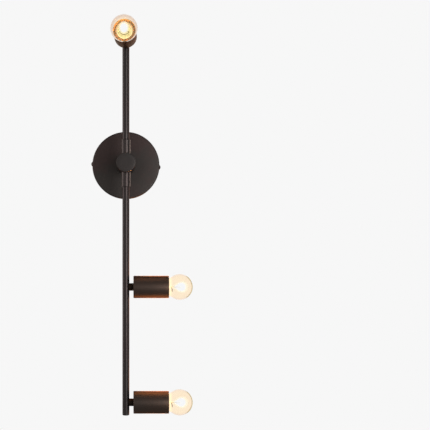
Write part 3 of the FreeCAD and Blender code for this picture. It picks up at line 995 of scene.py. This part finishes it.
def coil_points():
    # A fine coil that runs across the bulb in a shallow bow.
    points = []
    count = coil_turns * steps_per_turn
    for step in range(count + 1):
        angle = 2 * math.pi * step / steps_per_turn
        across = 2 * step / count - 1
        lift = coil_reach + coil_bow * (1 - across ** 2)
        along = lift + coil_radius * math.cos(angle)
        points.append((along, across * coil_half, coil_radius * math.sin(angle)))
    return points


def bulb_filament():
    obj = tube_along("bulb_filament", coil_points(), coil_wire, 6)
    paint(obj, "filament")
    return obj


def bulb_wires():
    # Two wires that leave the stem's end and spread to the ends of the coil.
    pieces = []
    for side in (-1, 1):
        points = [
            (stem_tip - wire_seat, side * 1.2 * MM, 0),
            (stem_tip, side * 1.8 * MM, 0),
            (stem_tip + 5 * MM, side * 3.6 * MM, 0),
            (coil_reach, side * coil_half, 0),
            (coil_reach + 0.6 * MM, side * coil_half, 0),
        ]
        pieces.append(tube_along("bulb_wires", points, lead_wire))
    select(pieces[0])
    pieces[1].select_set(True)
    bpy.ops.object.join()
    paint(pieces[0], "nickel")
    return pieces[0]


def support_wire():
    # A wire bent round under the stem, with both ends in its glass.
    reach = stem_tip - 3 * MM
    seat = reach - 2 * MM
    out, up = support_foot
    points = [(seat, -out, up)]
    points += [(reach, *point) for point in arc((0, 0), support_bend, 205, 335, 12)]
    points += [(seat, out, up)]
    obj = tube_along("support_wire", points, support_wire_radius)
    paint(obj, "black_steel")
    return obj


set_in_lamps(support_wire(), BULB_BODY, "filament_mount")
set_in_lamps(bulb_filament(), BULB_BODY, "filament_mount")
set_in_lamps(bulb_wires(), BULB_BODY, "filament_mount")


# The light round each filament, as three veils one inside the other

HALO_VEILS = {
    # size, colour, cover
    "filament_halo_inner": (0.88, (0.68, 0.86, 1.37), 1.00),
    "filament_halo_middle": (1.04, (1.00, 1.06, 1.12), 0.50),
    "filament_halo_outer": (1.30, (1.04, 1.08, 0.98), 0.28),
}
veil_tail = 10.5 * MM
veil_head = 11.3 * MM
veil_radius = 7.9 * MM
veil_flat_shares = (1, 0.82, 1)
tail_shares = (0.03, 0.12, 0.25, 0.4, 0.55, 0.7, 0.85)
tail_power = 1.15


def halo_veil(name, size):
    # A drop with its tail towards the neck.
    tail = globe_middle - veil_tail * size
    widest = veil_radius * size
    centre = globe_middle + veil_head * size - widest
    corners = [(tail, 0.0)]
    for share in tail_shares:
        out = widest * math.sin(share * math.pi / 2) ** tail_power
        corners.append((tail + (centre - tail) * share, out))
    corners += arc((centre, 0), widest, 90, 0, 8)
    obj = lathe(name, corners, 32)
    begin(obj)
    bpy.ops.mesh.select_all(action="SELECT")
    bpy.ops.transform.resize(value=veil_flat_shares, center_override=(0, 0, 0))
    end()
    smooth(obj, 80)
    paint(obj, name)
    return obj


for name, (size, colour, cover) in HALO_VEILS.items():
    FINISHES[name] = halo(name, colour, cover)
    set_in_lamps(halo_veil(name, size), BULB_BODY, "filament_mount")


# Camera at the photograph's place

camera_data = bpy.data.cameras.new("camera")
camera_data.lens = 82.5
camera_data.sensor_width = 36.0
camera_data.shift_x = 0.2072
camera_data.clip_end = 100
camera = bpy.data.objects.new("camera", camera_data)
camera.location = (0, -1.8, -0.0894)
camera.rotation_euler = (math.radians(90), 0, 0)
bpy.context.scene.collection.objects.link(camera)
bpy.context.scene.camera = camera


# Studio: a pale floor and a plain pale background

BACKGROUND = 0.93
SKY_LIGHT = 0.42
FLOOR_GREY = 0.66
FLOOR_RADIUS = 3.0
FLOOR_DROP = 0.35
FLOOR_FADE = (0.45, 1.35)
FLOOR_NEAR_SHARE = 0.55
WHITE = (1, 1, 1)
scene = bpy.context.scene
scene.view_settings.view_transform = "Standard"
scene.world = bpy.data.worlds.new("studio")


def seen_share(f):
    # 1 for a look straight at the background, in a mirror or through glass. A ray can be two of these.
    straight = f.node("ShaderNodeLightPath", output="Is Camera Ray")
    mirrored = f.node("ShaderNodeLightPath", output="Is Glossy Ray")
    through = f.node("ShaderNodeLightPath", output="Is Transmission Ray")
    return (straight + mirrored + through).at_most(1.0)


def studio_world():
    f = Finish(scene.world)
    level = SKY_LIGHT + (BACKGROUND - SKY_LIGHT) * seen_share(f)
    sky = f.node("ShaderNodeBackground", {"Color": WHITE, "Strength": level})
    f.node("ShaderNodeOutputWorld", {"Surface": sky})
    scene.world.cycles.sampling_method = "NONE"


def floor_finish():
    # Matt grey that looks like the background further out, and isn't there from below.
    f = material("floor")
    distance = f.node("ShaderNodeVectorMath", {0: f.place()}, {"operation": "LENGTH"}, output="Value")
    matt = f.node("ShaderNodeBsdfDiffuse", {"Color": (FLOOR_GREY, FLOOR_GREY, FLOOR_GREY)})
    plain = f.node("ShaderNodeEmission", {"Color": WHITE, "Strength": BACKGROUND})
    plain_share = FLOOR_NEAR_SHARE + (1 - FLOOR_NEAR_SHARE) * f.ramp(distance, *FLOOR_FADE)
    pale = f.mix_shaders(seen_share(f) * plain_share, matt, plain)
    from_below = f.node("ShaderNodeNewGeometry", output="Backfacing")
    return f.show(f.mix_shaders(from_below, pale, f.node("ShaderNodeBsdfTransparent")))


def studio_floor():
    spot = (0, 0, cad_low.z - FLOOR_DROP)
    bpy.ops.object.select_all(action="DESELECT")
    bpy.ops.mesh.primitive_circle_add(vertices=64, radius=FLOOR_RADIUS, fill_type="NGON", location=spot)
    floor = bpy.context.active_object
    floor.name = floor.data.name = "floor"
    floor.data.materials.append(floor_finish())


studio_world()
studio_floor()


# Pieces that some lights fall on and others leave out

GLASSY = ("globe_glass", "bulb_stem", "bulb_filament", "bulb_wires", "support_wire", "filament_halo")
OUTSIDE = ("cup_shell_", "collar_spacer_", "bulb_screw_cap_")
meshes = [obj for obj in scene.objects if obj.type == "MESH"]
glassy = [obj for obj in meshes if obj.name.startswith(GLASSY)]
outside = [obj for obj in meshes if obj.name.startswith(OUTSIDE)]
side_cups = [obj for obj in outside if not obj.name.endswith("_top")]
cap_face = [obj for obj in meshes if obj.name == "cap_disc"]
lower_rod = [nodes["lower_tube"], nodes["bottom_plug"]]
aside = [obj for obj in meshes if obj.name == "floor"] + glassy
aside += [nodes[node] for node in ("post", "sleeve", "upper_tube", "top_plug")] + lower_rod


def link_light(light, pieces, state):
    # The light falls on these pieces alone (INCLUDE), or on all but these (EXCLUDE).
    chosen = bpy.data.collections.new(light.name)
    for piece in pieces:
        chosen.objects.link(piece)
    for entry in chosen.collection_objects:
        entry.light_linking.link_state = state
    light.light_linking.receiver_collection = chosen


# Soft boxes round the lamp, which the glass doesn't mirror

SOFT_LIGHT_AIM = Vector((0, -0.1, -0.1))
SOFT_LIGHTS = {
    # degrees from the front towards the right, degrees up, distance, width, height, radiance
    "key": (27, 0, 1.9, 0.8, 1.1, 11.8),
    "front_fill": (-24, 4, 2.0, 1.0, 1.2, 1.2),
    "side_fill": (-92, 8, 1.7, 1.3, 1.7, 3.9),
    "rim": (134, 4, 1.8, 0.5, 1.6, 10.0),
    "overhead": (10, 80, 1.8, 1.2, 1.2, 0.5),
}


def soft_light(name, azimuth, elevation, distance, width, height, radiance):
    turn = math.radians(azimuth)
    rise = math.radians(elevation)
    way = Vector((math.sin(turn) * math.cos(rise), -math.cos(turn) * math.cos(rise), math.sin(rise)))
    data = bpy.data.lights.new(name, "AREA")
    data.shape = "RECTANGLE"
    data.size = width
    data.size_y = height
    data.energy = radiance * math.pi * width * height
    obj = bpy.data.objects.new(name, data)
    obj.location = SOFT_LIGHT_AIM + way * distance
    obj.rotation_euler = (-way).to_track_quat("-Z", "Y").to_euler()
    obj.visible_camera = False
    scene.collection.objects.link(obj)
    link_light(obj, glassy, "EXCLUDE")


for name, values in SOFT_LIGHTS.items():
    soft_light(name, *values)


# Light of the bulbs

BULB_COLOUR = (1.0, 0.46, 0.17)
# radius of the light, its distance along the lamp, and how far it is moved back towards the wall
OFF_THE_WALL = (0.08, 0.066, 0.062)
IN_TOP_BULB = (0.012, 0.093, 0.0)
IN_SIDE_BULB = (0.012, globe_middle, 0.0)
FILLING_BULB = (0.021, globe_middle, 0.0)
IN_FRONT_OF_BULB = (0.015, 0.098, -0.035)
THROWN_LIGHTS = {
    "top": (0.5, IN_TOP_BULB),
    "middle": (2.8, OFF_THE_WALL),
    "bottom": (2.6, OFF_THE_WALL),
}
CUP_POWER = 1.5
FAR_POWER = 3.5
NEAR_POWER = 0.15
TUBE_POWER = 0.9
HUB_POWER = 28.0


def bulb_light(name, lamp, power, spot):
    radius, along, back = spot
    data = bpy.data.lights.new(name + "_" + lamp, "POINT")
    data.energy = power
    data.color = BULB_COLOUR
    data.shadow_soft_size = radius
    obj = bpy.data.objects.new(data.name, data)
    obj.location = lamp_place(lamp) @ Vector((along, 0, 0)) + Vector((0, back, 0))
    obj.visible_camera = False
    obj.visible_transmission = False
    scene.collection.objects.link(obj)
    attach(obj, BULB_BODY[lamp])
    return obj


# The thrown light of a bulb falls on all but glass, floor, post, sleeve, tubes and what is inside
# its own cup. That of a side bulb comes from where the wall would throw it back. The other lights
# fall on a few pieces each: the cup light on what is inside its cup, the far light of the top bulb
# and the near light on the side cups, their collars and bulb caps, the tube light on the lower tube
# and its plug, and the hub light on the front cap.
for lamp, (power, spot) in THROWN_LIGHTS.items():
    own = [obj for obj in meshes if obj.name.endswith("_" + lamp) and obj not in glassy + outside]
    link_light(bulb_light("thrown_light", lamp, power, spot), own + aside, "EXCLUDE")
    link_light(bulb_light("cup_light", lamp, CUP_POWER, FILLING_BULB), own, "INCLUDE")
link_light(bulb_light("far_light", "top", FAR_POWER, OFF_THE_WALL), side_cups, "INCLUDE")
for lamp in ("middle", "bottom"):
    link_light(bulb_light("near_light", lamp, NEAR_POWER, IN_FRONT_OF_BULB), side_cups, "INCLUDE")
    link_light(bulb_light("tube_light", lamp, TUBE_POWER, OFF_THE_WALL), lower_rod, "INCLUDE")
link_light(bulb_light("hub_light", "middle", HUB_POWER, IN_SIDE_BULB), cap_face, "INCLUDE")
